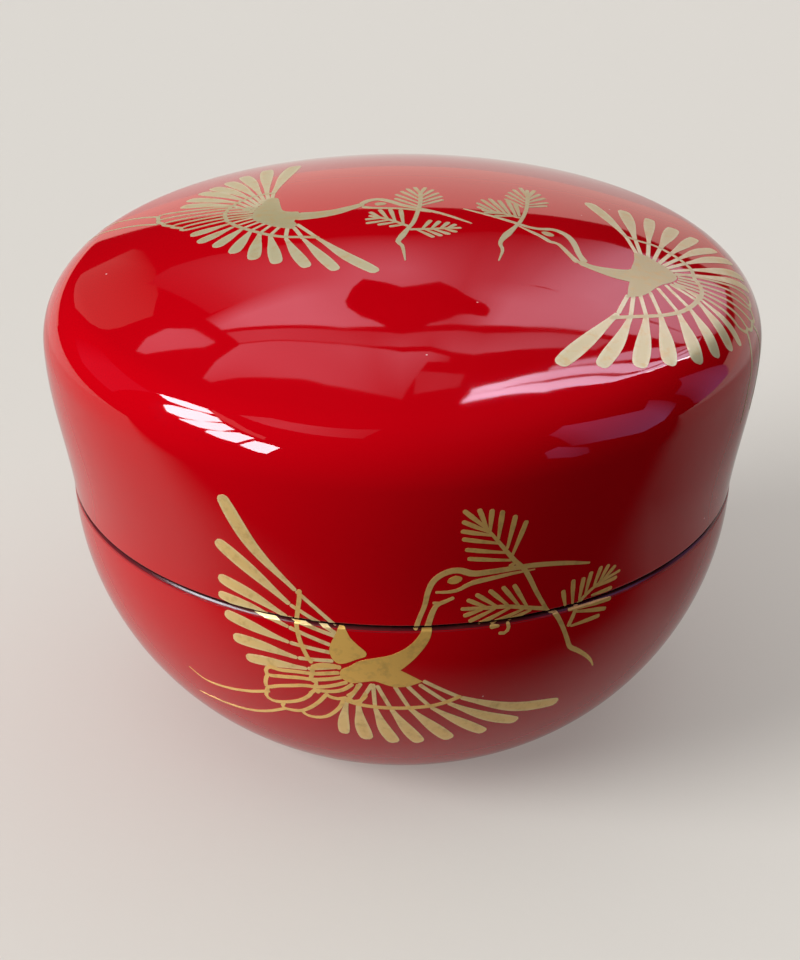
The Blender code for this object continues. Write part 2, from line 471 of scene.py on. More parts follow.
# glowing panels that the gloss mirrors: (colour, glow, stations from one side to the other). A
# station is (azimuth, elevation, glow) at its low end and then at its high end. An upright one
# gives its azimuth once, and where the whole panel has one glow the stations give none.
cool, white = (1.06, 0.8, 1.0), (0.94, 0.97, 1.0)
rosy, violet = (1.0, 0.84, 1.12), (0.62, 0.42, 1.0)
warm, glass, pinkish = (1.22, 0.88, 0.78), (0.85, 0.98, 1.06), (1.0, 0.2, 0.4)
panels = {
    "left_pane_1": (glass, 19, [
        (-80, 41, -80, 42), (-87, 40, -85, 48), (-95, 44.3, -92, 51), (-100, 48.4, -99, 50),
    ]),
    "left_pane_2": (glass, 19, [
        (-92, 34, -92, 38), (-98, 29, -98, 45.6), (-104, 30.5, -105, 47), (-109, 36, -111, 44),
    ]),
    "left_pane_3": (glass, 19, [
        (-104, 27, -105, 29.6), (-113, 27, -113, 42.6), (-119, 32, -120, 39.5),
    ]),
    "left_pane_4": (glass, 19, [
        (-116, 24, -116, 27.5), (-122, 22, -123, 37), (-128, 22, -130, 35),
    ]),
    "left_pane_5": (glass, 19, [
        (-129.5, 20, -131.5, 31.5), (-136, 16, -137, 31), (-139, 16, -141, 29),
    ]),
    "left_drape": ((1.0, 0.4, 0.4), 1.5, [
        (-97, 50, -92, 53), (-113, 45, -110, 50), (-133, 36, -132, 40),
    ]),
    "right_window_1": (rosy, None, [
        (16, 63.5, 9, 15, 65.5, 10), (21, 61.3, 9, 62.8, 10), (28, 56.4, 7, 29, 58.4, 8),
        (32, 51.4, 6, 33, 53.4, 7), (39, 44, 5, 42, 46, 6), (44, 34, 3, 48, 35, 4),
    ]),
    "right_window_2": (rosy, None, [
        (16, 62.4, 9, 63.4, 9), (21, 59.4, 8, 61.2, 9), (26, 54.8, 6, 27, 56.6, 6),
        (31, 48.6, 5, 32, 50.4, 5), (35, 42, 4, 38, 43, 5), (40, 33, 2, 43, 34, 3),
    ]),
    "right_window_3": (rosy, None, [
        (26, 53.4, 3, 54.6, 4), (30, 46.6, 3, 31, 47.6, 3), (32, 40, 2, 34, 41, 2),
        (36, 32, 1, 39, 33, 2),
    ]),
    "right_sill": (white, 18, [
        (37, 47, 37, 48), (43, 45, 43, 46), (49, 35, 50, 36),
    ]),
    "back_low": (warm, None, [
        (-42, -1, 0.6, 1, 0.6), (-19, -1, 0.8, 4, 0.8), (-7, -1, 0.78, 20, 0.75),
        (0, -1, 0.8, 20, 0.78), (7, -1, 0.8, 19, 0.78), (11, -1, 0.8, 16.5, 0.75),
        (15, -1, 0.8, 14, 0.7), (22, -1, 0.8, 15, 0.7), (40, -1, 0.8, 14, 0.7),
        (64, -1, 0.75, 10, 0.6),
    ]),
    "back_haze": (cool, None, [
        (-23, 26, 0.06, 40, 0.08), (-20, 25, 0.09, 40, 0.16), (-16.5, 26, 0.1, 39.5, 0.4),
        (-13, 28, 0.12, 39, 0.6), (-9, 29, 0.1, 39, 0.75), (-5, 28.5, 0.0, 38.5, 1.0),
        (0, 29, 0.0, 38.5, 1.05), (3.5, 28.5, 0.03, 39, 0.68), (7.5, 26, 0.03, 40, 0.4),
        (11, 25, 0.05, 39, 0.5), (14, 22, 0.1, 38.5, 0.85), (16, 20.5, 0.35, 38, 1.25),
        (18, 20, 0.9, 38, 1.6), (21, 19, 1.3, 37.5, 2.0), (26, 18, 1.2, 36.5, 2.1),
        (33, 20, 0.9, 33, 1.6), (42, 22, 0.5, 29, 0.6),
    ]),
    "back_fade": (cool, None, [
        (-24, 40.5, 0.08, 43.3, 1.1), (-20, 40, 0.16, 43, 1.5), (-16.5, 39.5, 0.4, 43, 1.5),
        (-13, 39, 0.6, 43, 1.6), (-9, 39, 0.75, 43, 1.3), (-5, 38.5, 1.0, 43, 1.2),
        (0, 38.5, 1.05, 43, 1.0), (3.5, 39, 0.68, 43, 0.85), (7.5, 40, 0.4, 43, 0.42),
        (11, 39, 0.5, 43, 0.9), (14, 38.5, 0.85, 43, 1.6), (18, 38, 1.6, 43, 1.85),
        (23, 37, 2.05, 43, 1.95), (28, 36, 2.1, 41, 1.9), (33, 33, 1.6, 36, 1.5),
    ]),
    "back_wall": (cool, None, [
        (-24, 43.3, 1.2, 44.2, 1.3), (-20, 43, 1.6, 46.3, 1.65), (-16.5, 43, 1.6, 47.9, 1.75),
        (-13, 43, 1.6, 49.4, 1.8), (-9, 43, 1.3, 51, 1.7), (-5, 43, 1.2, 51.5, 1.4),
        (0, 43, 1.0, 52, 1.4), (3.5, 43, 0.85, 51.6, 0.9), (7.5, 43, 0.42, 50.6, 0.5),
        (11, 43, 0.9, 50.2, 0.9), (14, 43, 1.6, 49.2, 1.9), (18, 43, 1.85, 47.8, 1.9),
        (23, 43, 1.95, 45, 1.9), (28, 41, 1.9, 42.3, 1.9),
    ]),
    "back_rail": (cool, None, [
        (-24, 45.2, 0.5, 48.2, 0.55), (-20, 47.2, 0.6, 50, 0.6), (-16.5, 48.8, 0.55, 51.7, 0.55),
        (-13, 50.3, 0.5, 53.2, 0.5), (-9, 51.8, 0.4, 54.5, 0.5), (-5, 52.6, 0.3, 55.6, 0.4),
        (0, 53.4, 0.4, 56, 0.7), (5, 52.6, 0.45, 55.6, 0.4), (9, 51.8, 0.45, 56.2, 0.85),
        (13, 51.4, 0.4, 56, 0.95), (17, 49.8, 0.6, 54.2, 1.0), (22, 47, 0.7, 51, 1.0),
        (28, 43.6, 0.8, 46.8, 0.8),
    ]),
    "back_top": (cool, None, [
        (-33, 51, 0.8, 52.4, 0.5), (-29, 49.4, 1.0, 54.4, 0.6), (-24, 48.5, 0.95, 57.3, 0.85),
        (-20, 50.3, 0.85, 59.2, 0.95), (-16.5, 52, 0.85, 61.4, 0.9), (-13, 53.5, 0.9, 62.7, 0.8),
        (-9, 54.8, 1.0, 64, 0.6), (-5, 56, 0.8, 65, 0.4), (0, 57, 1.1, 66, 0.25),
        (5, 56.6, 0.9, 58.6, 0.7), (9, 57.2, 0.3, 58.2, 0.2),
    ]),
    "back_faint": (cool, None, [
        (3, 60.6, 0.3, 65, 0.3), (8, 60.5, 0.35, 64, 0.35), (13, 60.2, 0.3, 62.5, 0.3),
    ]),
    "back_corner": (cool, None, [
        (-33, 39.4, 0.9, 41, 0.9), (-30.5, 38.2, 1.0, 43.5, 1.0), (-28, 38.6, 1.0, 45.8, 1.0),
        (-26.3, 41.5, 0.9, 46, 0.9),
    ]),
    "back_left": (warm, None, [
        (-34, 18, 0.3, 27, 0.3), (-30, 15, 0.28, 33, 0.26), (-27, 13.5, 0.26, 34.5, 0.2),
        (-24, 14, 0.25, 30.5, 0.12), (-21, 14.5, 0.25, 24, 0.04), (-19, 14.5, 0.12, 17, 0.0),
    ]),
    "left_shade": (pinkish, None, [
        (-80, 14, 0.35, 38, 0.35), (-62, 12, 0.3, 34, 0.3), (-48, 16, 0.0, 30, 0.0),
    ]),
    "ceiling": (cool, None, [
        (-162, 60, 0.2, 78, 0.2), (-140, 58, 0.6, 74, 0.3), (-119, 57, 0.8, 70, 0.7),
        (-98, 58, 0.6, 66, 0.6),
    ]),
    "right_curtain": (violet, None, [
        (128, 16, 0.2, 40, 0.4), (117, 10, 0.75, 47, 0.85), (105, 2, 0.95, 38, 0.9),
        (96, 4, 1.1, 28, 0.8), (88, 14, 0.1, 34, 0.25),
    ]),
    "right_haze": (violet, None, [
        (62, -6, 0.6, 8, 0.4), (70, -6, 0.8, 33, 0.35), (76, -5, 0.7, 27, 0.35),
        (83, 2, 0.2, 24, 0.15),
    ]),
    "right_cloth": (violet, None, [
        (137, 6, 0.5, 16, 0.6), (132, 2, 0.5, 20, 0.7), (124, -6, 0.2, 8, 0.3),
    ]),
}
# a dark panel in front of them, seen only in the gloss: a dark patch painted into the reflection on
# the lid
darkReflectionPatch = [
    (-7.5, 45.5, -7.5, 47), (-6, 42.5, -6, 49.3), (-4.5, 40.6, -4.5, 50.2), (-2, 41.8, -2, 52.2),
    (0, 43, 0, 53), (2, 42.4, 2, 52.6), (4.5, 41.3, 4.5, 51), (6.5, 42.5, 6.5, 50),
    (8, 43.8, 8, 48.5), (9.5, 44.6, 9.5, 48), (11, 45.2, 11, 48), (12, 46.3, 12, 47.8),
]


def panelMaterial():
    material = bpy.data.materials.new("panel_glow")
    material.use_nodes = True
    node, tree = nodeMaker(material)
    tree.nodes.remove(tree.nodes["Principled BSDF"])
    glow = node("ShaderNodeAttribute", attribute_name="glow")
    light = node("ShaderNodeEmission", {"Color": (glow, "Color")})
    tree.links.new(light.outputs[0], tree.nodes["Material Output"].inputs["Surface"])
    return material


def fullStation(station, glow):
    if glow is not None:
        azimuth, low, highAzimuth, high = station
        return azimuth, low, glow, highAzimuth, high, glow
    if len(station) == 5:
        azimuth, low, lowGlow, high, highGlow = station
        return azimuth, low, lowGlow, azimuth, high, highGlow
    return station


def makePanel(name, colour, glow, stations, distance, material):
    across, up = studio["panelSteps"]
    stations = [fullStation(station, glow) for station in stations]
    mesh = bmesh.new()
    shine = mesh.verts.layers.float_color.new("glow")
    columns = []
    for one, two in zip(stations, stations[1:]):
        for share in shares(across)[bool(columns):]:
            columns.append(between(one, two, share))
    grid = []
    for column in columns:
        row = []
        for share in shares(up):
            azimuth, elevation, bright = between(column[:3], column[3:], share)
            point = Vector((0, 0, studio["aim"])) + towards(azimuth, elevation) * distance
            vert = mesh.verts.new(point)
            vert[shine] = (*(bright * part for part in colour), 1)
            row.append(vert)
        grid.append(row)
    for left, right in zip(grid, grid[1:]):
        for i in range(up):
            mesh.faces.new((left[i], right[i], right[i + 1], left[i + 1]))
    data = bpy.data.meshes.new(name)
    mesh.to_mesh(data)
    mesh.free()
    data.materials.append(material)
    panel = linked(name, data)
    panel.visible_camera = False
    panel.visible_diffuse = False
    panel.visible_shadow = False


def makeStudio():
    for name, (azimuth, elevation, strength, wide) in lamps.items():
        makeLamp(name, azimuth, elevation, strength, wide)
    material = panelMaterial()
    distance = studio["panelDistance"]
    for name, (colour, glow, stations) in panels.items():
        makePanel(name, colour, glow, stations, distance, material)
    # a panel of no glow, for the dark patch painted into the reflection
    makePanel("dark_reflection_patch", white, 0, darkReflectionPatch, distance * studio["darkPatchShare"], material)

    # all round: pale to the camera, dark in mirrored light, dim for the fill
    world = bpy.data.worlds.new("surround")
    bpy.context.scene.world = world
    world.use_nodes = True
    tree = world.node_tree
    rays = tree.nodes.new("ShaderNodeLightPath")
    last = tree.nodes["Background"]
    last.inputs["Color"].default_value = studio["room"]
    for colour, ray in ((studio["fill"], "Is Diffuse Ray"), (studio["paper"], "Is Camera Ray")):
        layer = tree.nodes.new("ShaderNodeBackground")
        layer.inputs["Color"].default_value = colour
        mix = tree.nodes.new("ShaderNodeMixShader")
        tree.links.new(rays.outputs[ray], mix.inputs[0])
        tree.links.new(last.outputs[0], mix.inputs[1])
        tree.links.new(layer.outputs[0], mix.inputs[2])
        last = mix
    tree.links.new(last.outputs[0], tree.nodes["World Output"].inputs["Surface"])
    bpy.context.scene.view_settings.view_transform = "Standard"


# the lid
lidShape = {
    "wall": 2.2 * mm,
    "topWall": 2.6 * mm,
    "mouthEdge": 0.2 * mm,      # rounding on the outer lower edge
    "boreEdge": 0.12 * mm,
    "fitRun": 1.0 * mm,         # the straight bore above the body's lip
    "domeSteps": (72, 24),      # outside and inside
    "shoulderSteps": (28, 14),
    "sideSteps": (44, 24),
    "coatStart": 1.2,           # the black starts this many mouth edges in from the corner
    "coatDepth": 0.15 * mm,     # the black lacquer inside sinks this far into the wall
    "coatProud": 0.012 * mm,    # and stands proud of it by this
}


def outerCap(domeSteps, shoulderSteps):
    return capCurve(turning["dome"], turning["shoulder"], turning["widest"], turning["top"],
                    domeSteps, shoulderSteps)


def lidHollow(grow=0.0):
    # the inside of the lid from its mouth up to the axis; grow moves it into the wall
    bore = turning["seamRadius"] - lidShape["wall"] + grow
    wall = turning["widest"] - lidShape["wall"] + grow
    top = turning["top"] - lidShape["topWall"] + grow
    boreTop = turning["lipTop"] + lidShape["fitRun"]
    cap = capCurve(turning["dome"] - lidShape["topWall"] + grow,
                   turning["shoulder"] - lidShape["wall"] + grow, wall, top,
                   lidShape["domeSteps"][1], lidShape["shoulderSteps"][1])
    curve = [(bore, turning["mouth"] + lidShape["boreEdge"])]
    for share in shares(lidShape["sideSteps"][1])[:-1]:
        ease = share * share * (3 - 2 * share)
        curve.append((bore + (wall - bore) * ease, boreTop + (cap[-1][1] - boreTop) * share))
    return curve + list(reversed(cap))


def makeLid():
    cap = outerCap(lidShape["domeSteps"][0], lidShape["shoulderSteps"][0])
    sideTop = cap[-1][1]
    mouth = turning["mouth"]
    low = mouth + 2 * lidShape["mouthEdge"]
    side = []
    for share in shares(lidShape["sideSteps"][0])[1:]:
        height = sideTop + (low - sideTop) * share
        side.append((sideRadius(height), height))
    bore = turning["seamRadius"] - lidShape["wall"]
    corners = plain(cap + side)
    corners.append((sideRadius(mouth), mouth, lidShape["mouthEdge"]))
    corners.append((bore, mouth, lidShape["boreEdge"]))
    corners += plain(lidHollow()[1:])
    lid = turned("lid_shell", roundedCorners(corners), redLacquer("lid_red"))
    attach(lid, "root")
    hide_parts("lid")

    # black lacquer over the lower edge, the bore and the hollow
    proud, depth = lidShape["coatProud"], lidShape["coatDepth"]
    start = sideRadius(mouth) - lidShape["mouthEdge"] * lidShape["coatStart"]
    face = [(start, mouth - proud, 0), (bore - proud, mouth - proud, lidShape["boreEdge"])]
    face += plain(lidHollow(-proud)[1:])
    back = plain(reversed(lidHollow(depth)[1:]))
    back += [(bore + depth, mouth + depth, 0), (start, mouth + depth, 0)]
    coat = turned("lid_inside", roundedCorners(face + back), blackLacquer("lid_black"))
    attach(coat, "root")


# the body
bodyShape = {
    "bevel": 0.4 * mm,          # on the rim
    "bevelEdge": 0.55 * mm,     # the bevel is worn nearly round
    "coatRun": 0.1 * mm,        # the black runs this far below it
    "lipWall": 1.2 * mm,
    "lipClearance": 0.3 * mm,
    "lipEdge": 0.3 * mm,
    "wall": 3.0 * mm,
    "floor": 3.8 * mm,          # height of the inside floor
    "footRing": 3.4 * mm,
    "recess": 0.8 * mm,
    "recessSlope": 1.0 * mm,
    "footEdge": 0.35 * mm,
    "outerSteps": 84,
    "innerSteps": 70,
    "rimward": 4,               # the wall thickens towards the rim by this power
}


def lipRadii():
    outer = turning["seamRadius"] - lidShape["wall"] - bodyShape["lipClearance"]
    return outer, outer - bodyShape["lipWall"]


def innerBowl(grow=0.0):
    # the outer curve moved in by the wall, from the lip down to the floor and the axis
    seam = turning["seam"]
    lipInner = lipRadii()[1]
    rimWall = turning["seamRadius"] - lipInner
    floor = bodyShape["floor"] - grow
    curve = [(lipInner + grow, seam)]
    tiny = seam * 0.001  # for the slope
    for share in shares(bodyShape["innerSteps"])[1:]:
        height = seam * (1 - share)
        level = max(height, tiny)
        slope = (bowlRadius(level + tiny) - bowlRadius(level)) / tiny
        normal = Vector((1.0, -slope)).normalized()
        thicker = (rimWall - bodyShape["wall"]) * (1 - share) ** bodyShape["rimward"]
        wall = bodyShape["wall"] + thicker - grow
        point = (bowlRadius(height) - wall * normal.x, height - wall * normal.y)
        if point[1] <= floor:
            before = curve[-1]
            part = (before[1] - floor) / (before[1] - point[1])
            curve.append((before[0] + (point[0] - before[0]) * part, floor))
            break
        curve.append(point)
    curve.append((0.0, floor))
    return curve


def makeBody():
    seam = turning["seam"]
    edge = seam - bodyShape["bevel"]
    lipOuter, lipInner = lipRadii()
    ring = turning["foot"] - bodyShape["footRing"]
    corners = plain(reversed(innerBowl()))
    corners += [
        (lipInner, turning["lipTop"], bodyShape["lipEdge"]),
        (lipOuter, turning["lipTop"], bodyShape["lipEdge"]),
        (lipOuter, seam, 0),
        (turning["seamRadius"] - bodyShape["bevel"], seam, bodyShape["bevelEdge"]),
        (bowlRadius(edge), edge, bodyShape["bevelEdge"]),
    ]
    for share in shares(bodyShape["outerSteps"])[1:-1]:
        height = edge * (1 - share) ** turning["footward"]
        corners.append((bowlRadius(height), height, 0))
    corners += [
        (turning["foot"], 0.0, 0),
        (ring, 0.0, bodyShape["footEdge"] / 2),
        (ring - bodyShape["recessSlope"], bodyShape["recess"], bodyShape["footEdge"]),
        (0.0, bodyShape["recess"], 0),
    ]
    body = turned("body_shell", roundedCorners(corners), redLacquer("body_red"))
    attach(body, "root")
    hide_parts("caddy_body")

    # black lacquer over the bevel, the rim, the lip and the chamber
    proud, depth = lidShape["coatProud"], lidShape["coatDepth"]
    face = plain(reversed(innerBowl(-proud)))
    face += [
        (lipInner - proud, turning["lipTop"] + proud, bodyShape["lipEdge"]),
        (lipOuter + proud, turning["lipTop"] + proud, bodyShape["lipEdge"]),
        (lipOuter + proud, seam + proud, 0),
        (turning["seamRadius"] - bodyShape["bevel"] + proud, seam + proud, bodyShape["bevelEdge"]),
        (bowlRadius(edge) + proud, edge, bodyShape["bevelEdge"]),
        (bowlRadius(edge - bodyShape["coatRun"]), edge - bodyShape["coatRun"], 0),
    ]
    back = [
        (bowlRadius(edge) - depth, edge, 0),
        (turning["seamRadius"] - bodyShape["bevel"] - depth, seam - depth, 0),
        (lipOuter - depth, seam - depth, 0),
        (lipOuter - depth, turning["lipTop"] - depth, 0),
        (lipInner + depth, turning["lipTop"] - depth, 0),
    ]
    back += plain(innerBowl(depth))
    coat = turned("body_inside", roundedCorners(face + back), blackLacquer("body_black"))
    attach(coat, "root")


# gold painting
painting = {
    "step": 0.5,                # spacing of points along a stroke, in mm of the drawing
    "fine": 0.2,                # spacing along the line that it follows
    "roundEnds": (0.08, 0.3, 0.62),     # points round an end, as shares of its radius
    "fill": 0.7,                # spacing of points inside a broad shape
    "quill": 0.48,              # width of the thin line from a feather to the bird
    "needle": 0.5,
    "broad": 0.9,               # strokes wider than this get an inner pair of points
    "lift": 0.02 * mm,
    "sink": 0.03 * mm,
    "rimFade": 0.45,            # how far in from its edge the gold changes tone, in mm
    "lidEnds": 0.32,            # the lid's part of the front crane stops this far above the seam
    "bodyEnds": -0.1,
    "bevelRows": (-0.18, -0.26, -0.34, -0.42, -0.52, -0.66, -0.85),  # it bends over the rim
    "edgeClear": 0.4,           # inner points stay this share of "fill" from an outline
    "widest": 60,               # the drawing reaches no further to each side
    "joins": 0.0005,            # points closer than this are one
    "lineTone": 0.7,            # lines and pine take this much of a bird's deep tone
    "pineTone": 0.8,
}

# the fine copy of the outer curve that the paint follows
skinSteps = {
    "dome": 400,
    "shoulder": 200,
    "side": 300,
}

# width of a feather from its rounded tip to its quill, as shares of its full width
featherShape = [0.78, 0.97, 1.0, 0.93, 0.78, 0.58, 0.4, 0.3]
# and of a pine needle from its tip to the twig
needleShape = [1.0, 1.1, 0.8, 0.6]


def spline(points, step, closed=False):
    # a smooth line through the points; a point given twice makes a sharp corner
    knots = [Vector(p) for p in points]
    count = len(knots)
    line = []
    for i in range(count if closed else count - 1):
        near, far = knots[i], knots[(i + 1) % count]
        if (far - near).length < 0.001:
            continue
        before = knots[i - 1] if closed or i > 0 else near * 2 - far
        after = knots[(i + 2) % count] if closed or i < count - 2 else far * 2 - near
        pieces = max(2, math.ceil((far - near).length / step))
        for k in range(pieces):
            t = k / pieces
            line.append(0.5 * (2 * near + (far - before) * t
                               + (2 * before - 5 * near + 4 * far - after) * t * t
                               + (3 * near - before - 3 * far + after) * t ** 3))
    if not closed:
        line.append(knots[-1])
    return line


def along(values, share):
    place = share * (len(values) - 1)
    i = min(int(place), len(values) - 2)
    return values[i] + (values[i + 1] - values[i]) * (place - i)


def stroke(points, width):
    # a band along a spline with round ends, as rows of points across it
    widths = width if isinstance(width, (list, tuple)) else (width, width)
    line = spline(points, painting["fine"])
    reach = [0.0]
    for near, far in zip(line, line[1:]):
        reach.append(reach[-1] + (far - near).length)
    length = reach[-1]
    stations = []
    for share in painting["roundEnds"]:
        stations.append(share * widths[0] / 2)
        stations.append(length - share * widths[-1] / 2)
    first, last = widths[0] / 2, length - widths[-1] / 2
    pieces = max(1, math.ceil((last - first) / painting["step"]))
    stations += [first + (last - first) * share for share in shares(pieces)]
    stations.sort()
    columns = (-1, -0.5, 0.5, 1) if max(widths) > painting["broad"] else (-1, 1)
    rows = []
    i = 0
    for station in stations:
        while i < len(line) - 2 and reach[i + 1] < station:
            i += 1
        run = (line[i + 1] - line[i])
        centre = line[i] + run * ((station - reach[i]) / run.length)
        before, after = line[max(i - 1, 0)], line[min(i + 2, len(line) - 1)]
        side = (after - before).orthogonal().normalized()
        half = along(widths, station / length) / 2
        for end, endWidth in ((station, widths[0]), (length - station, widths[-1])):
            if end < endWidth / 2:
                half *= math.sqrt(1 - (1 - end / (endWidth / 2)) ** 2)
        rows.append([centre + side * half * column for column in columns])
    return rows


def feather(width, tip, middle, root, foot):
    blade = stroke([tip, middle, root], [width * share for share in featherShape])
    return [blade, stroke([root, foot], painting["quill"])]


def tuft(needles, width):
    # pine needles, round at the tip and thin where they meet the twig
    return [stroke([tip, base], [width * share for share in needleShape])
            for tip, base in needles]


def insideOutline(point, outline):
    inside = False
    for near, far in zip(outline, outline[1:] + outline[:1]):
        if (near.y > point.y) != (far.y > point.y):
            cross = near.x + (point.y - near.y) / (far.y - near.y) * (far.x - near.x)
            inside ^= cross > point.x
    return inside


def goldTriangles(drawing, cuts=()):
    # joins every stroke and broad shape of a drawing into one flat sheet of triangles
    points, edges, faces, tones = [], [], [], []

    def addFace(corners, tone):
        area = sum(a.x * b.y - b.x * a.y for a, b in zip(corners, corners[1:] + corners[:1]))
        start = len(points)
        points.extend(corners if area > 0 else reversed(corners))
        faces.append(list(range(start, start + len(corners))))
        tones.append(tone)

    for rows, tone in drawing["strokes"]:
        for near, far in zip(rows, rows[1:]):
            for k in range(len(near) - 1):
                addFace([near[k], near[k + 1], far[k + 1], far[k]], tone)
    for outline, tone in drawing["shapes"]:
        line = spline(outline, painting["step"], closed=True)
        addFace(line, tone)
        low = Vector((min(p.x for p in line), min(p.y for p in line)))
        high = Vector((max(p.x for p in line), max(p.y for p in line)))
        room = painting["fill"] * painting["edgeClear"]
        across = int((high.x - low.x) / painting["fill"])
        up = int((high.y - low.y) / painting["fill"])
        for i in range(1, across + 1):
            for j in range(1, up + 1):
                point = low + Vector((i, j)) * painting["fill"]
                clear = min((point - p).length for p in line) > room
                if clear and insideOutline(point, line):
                    points.append(point)
    for height in cuts:
        start = len(points)
        points.extend([Vector((-painting["widest"], height)),
                       Vector((painting["widest"], height))])
        edges.append((start, start + 1))
    made = delaunay_2d_cdt(points, edges, faces, 0, painting["joins"], True)
    flat, cells, origins = made[0], made[2], made[5]
    triangles = [(*cell, max(tones[k] for k in sources))
                 for cell, sources in zip(cells, origins) if sources]
    return flat, triangles


def skin():
    # the outer curve as (length from the middle of the lid, radius, height)
    curve = outerCap(skinSteps["dome"], skinSteps["shoulder"])
    sideTop = curve[-1][1]
    for share in shares(skinSteps["side"])[1:]:
        height = sideTop + (turning["seam"] - sideTop) * share
        curve.append((sideRadius(height), height))
    seamIndex = len(curve) - 1
    for share in shares(skinSteps["side"])[1:]:
        height = turning["seam"] * (1 - share) ** turning["footward"]
        curve.append((bowlRadius(height), height))
    lengths = [0.0]
    for near, far in zip(curve, curve[1:]):
        lengths.append(lengths[-1] + math.dist(near, far))
    return curve, lengths, lengths[seamIndex]


skinCurve, skinLengths, seamLength = skin()


def onSkin(length, angle, lift, bevelled):
    i = bisect.bisect(skinLengths, length) - 1
    i = max(0, min(i, len(skinCurve) - 2))
    (r0, z0), (r1, z1) = skinCurve[i], skinCurve[i + 1]
    span = skinLengths[i + 1] - skinLengths[i]
    part = (length - skinLengths[i]) / span
    reach, height = r0 + (r1 - r0) * part, z0 + (z1 - z0) * part
    out = Vector((z0 - z1, r1 - r0)).normalized()
    if bevelled:
        slope = turning["seamRadius"] - (height - (turning["seam"] - bodyShape["bevel"]))
        if slope < reach:
            reach = slope
            out = Vector((1, 1)).normalized()
    reach += out.x * lift
    height += out.y * lift
    return Vector((reach * math.cos(angle), reach * math.sin(angle), height))


def onFront(point, lift, bevelled=False):
    # the drawing's x runs to the right round the front, y up from the seam
    angle = -math.pi / 2 + point.x * mm / turning["seamRadius"]
    return onSkin(seamLength - point.y * mm, angle, lift, bevelled)


def onBody(point, lift):
    return onFront(point, lift, True)


def onLid(point, lift):
    # x to the right and y away from the viewer, measured over the lid from its middle
    return onSkin(point.length * mm, math.atan2(point.y, point.x), lift, False)


def goldFilm(name, flat, toned, place, material):
    # a thin closed sheet that follows the lacquer under it
    triangles = [corners[:3] for corners in toned]
    used = sorted({i for triangle in triangles for i in triangle})
    deep = {}
    for a, b, c, depth in toned:
        for i in (a, b, c):
            deep[i] = max(deep.get(i, 0), depth)
    count = {}
    for triangle in triangles:
        for a, b in zip(triangle, triangle[1:] + triangle[:1]):
            key = (min(a, b), max(a, b))
            count[key] = count.get(key, 0) + 1
    rim = {i for key, times in count.items() if times == 1 for i in key}
    near = KDTree(len(rim))
    for i in rim:
        near.insert((flat[i].x, flat[i].y, 0), i)
    near.balance()
    mesh = bmesh.new()
    inset = mesh.verts.layers.float.new("inset")
    tone = mesh.verts.layers.float.new("tone")
    upper, lower = {}, {}
    for i in used:
        upper[i] = mesh.verts.new(place(flat[i], painting["lift"]))
        lower[i] = mesh.verts.new(place(flat[i], -painting["sink"]))
        away = near.find((flat[i].x, flat[i].y, 0))[2]
        upper[i][inset] = min(1.0, away / painting["rimFade"])
        upper[i][tone] = lower[i][tone] = deep[i]
    for a, b, c in triangles:
        mesh.faces.new((upper[a], upper[b], upper[c]))
        mesh.faces.new((lower[c], lower[b], lower[a]))
        for p, q in ((a, b), (b, c), (c, a)):
            if count[(min(p, q), max(p, q))] == 1:
                mesh.faces.new((upper[q], upper[p], lower[p], lower[q]))
    film = finished(name, mesh, material)
    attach(film, "root")
    print(name, len(film.data.polygons), "faces")


def drawingOf(bird):
    # feathers keep the pale gold; the body takes the deep tone, lines and pine most of it
    strokes = []
    tone = bird["tone"]
    for wing in bird["wings"]:
        for blade in wing:
            strokes += [(rows, 0.0) for rows in feather(*blade)]
    for width, points in bird["lines"]:
        strokes.append((stroke(points, width), painting["lineTone"] * tone))
    for needles in bird["tufts"]:
        pine = tuft(needles, painting["needle"])
        strokes += [(rows, painting["pineTone"] * tone) for rows in pine]
    return {"strokes": strokes, "shapes": [(outline, tone) for outline in bird["shapes"]]}


